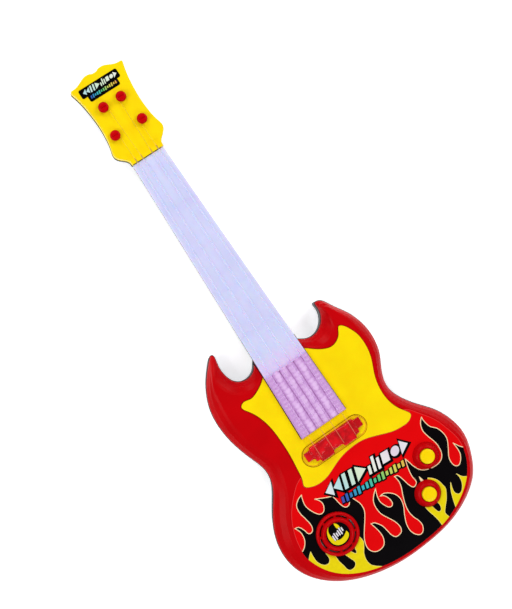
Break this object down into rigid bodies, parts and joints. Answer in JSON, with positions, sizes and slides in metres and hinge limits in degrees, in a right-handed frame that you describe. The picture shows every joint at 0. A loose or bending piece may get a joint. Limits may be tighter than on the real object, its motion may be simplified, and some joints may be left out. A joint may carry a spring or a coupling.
{
  "type": "toy electric guitar",
  "caption": "Toy electric guitar: red two-horned body with yellow pickguard, flame graphics, frosted neck, yellow headstock, nylon strings, sprung sound buttons and a speaker.",
  "frame": {"origin": "on the flat back of the body, under the bridge, on the neck's centre line", "axes": "+X to the treble side as seen from the front, +Y along the neck towards the headstock, +Z out of the front face"},
  "size_m": [0.212, 0.5517, 0.0377],
  "materials": {
    "red_plastic": "gloss",
    "charcoal_plastic": "satin",
    "yellow_plastic": "gloss",
    "printed_film": "gloss",
    "frosted_plastic": "satin",
    "printed_film_dark": "gloss",
    "steel": "satin",
    "speaker_paper": "matte",
    "ferrite": "matte",
    "button_yellow": "gloss",
    "silicone": "matte",
    "board_green": "satin",
    "component_black": "satin",
    "battery_wrap": "gloss",
    "led_lens": "gloss",
    "nylon": "gloss",
    "wire_insulation": "satin"
  },
  "bodies": {
    "guitar": {"front_shell": "red_plastic", "back_shell": "charcoal_plastic", "pickguard": "yellow_plastic", "flame_label": "printed_film", "fingerboard": "frosted_plastic", "neck_back": "charcoal_plastic", "headstock_front": "yellow_plastic", "headstock_back": "charcoal_plastic", "headstock_badge": "printed_film_dark", "bridge": "red_plastic", "speaker_grille": "red_plastic", "grille_label": "printed_film_dark", "speaker_frame": "steel", "speaker_cone": "speaker_paper", "speaker_magnet": "ferrite", "upper_button_dome": "silicone", "lower_button_dome": "silicone", "circuit_board": "board_green", "board_components": "component_black", "board_screws": "steel", "battery_1": "battery_wrap", "battery_2": "battery_wrap", "battery_3": "battery_wrap", "battery_contacts": "steel", "neck_light_strip": "board_green", "neck_lights": "led_lens", "power_switch_body": "steel", "body_screws": "steel", "neck_screws": "steel", "headstock_screws": "steel", "string_1": "nylon", "string_2": "nylon", "string_3": "nylon", "string_4": "nylon", "battery_wires": "wire_insulation", "speaker_wires": "wire_insulation", "light_wires": "wire_insulation"},
    "upper_button": {"upper_button": "button_yellow"},
    "lower_button": {"lower_button": "button_yellow"},
    "battery_door": {"battery_door": "charcoal_plastic", "door_screw": "steel"},
    "power_switch_slider": {"power_switch_slider": "component_black"},
    "tuning_peg_1": {"tuning_peg_1": "red_plastic"},
    "tuning_peg_2": {"tuning_peg_2": "red_plastic"},
    "tuning_peg_3": {"tuning_peg_3": "red_plastic"},
    "tuning_peg_4": {"tuning_peg_4": "red_plastic"}
  },
  "joints": [
    {"name": "upper_button_press", "type": "slide", "parent": "guitar", "child": "upper_button", "axis": [0, 0, -1], "range_m": [0, 0.002], "stiffness_N_per_m": 250, "springref_m": -0.0012, "deforming": ["upper_button_dome"]},
    {"name": "lower_button_press", "type": "slide", "parent": "guitar", "child": "lower_button", "axis": [0, 0, -1], "range_m": [0, 0.002], "stiffness_N_per_m": 250, "springref_m": -0.0012, "deforming": ["lower_button_dome"]},
    {"name": "tuning_peg_1_turn", "type": "hinge", "parent": "guitar", "child": "tuning_peg_1", "pos_m": [-0.0147, 0.3493, 0.03], "axis": [0, 0, 1], "continuous": true},
    {"name": "tuning_peg_2_turn", "type": "hinge", "parent": "guitar", "child": "tuning_peg_2", "pos_m": [-0.0096, 0.3765, 0.03], "axis": [0, 0, 1], "continuous": true},
    {"name": "tuning_peg_3_turn", "type": "hinge", "parent": "guitar", "child": "tuning_peg_3", "pos_m": [0.0096, 0.3765, 0.03], "axis": [0, 0, 1], "continuous": true},
    {"name": "tuning_peg_4_turn", "type": "hinge", "parent": "guitar", "child": "tuning_peg_4", "pos_m": [0.0147, 0.3493, 0.03], "axis": [0, 0, 1], "continuous": true},
    {"name": "battery_door_swing", "type": "hinge", "parent": "guitar", "child": "battery_door", "pos_m": [0.005, -0.057, 0.0014], "axis": [1, 0, 0], "range_deg": [0, 100]},
    {"name": "power_switch_slide", "type": "slide", "parent": "guitar", "child": "power_switch_slider", "axis": [1, 0, 0], "range_m": [0, 0.004]}
  ]
}
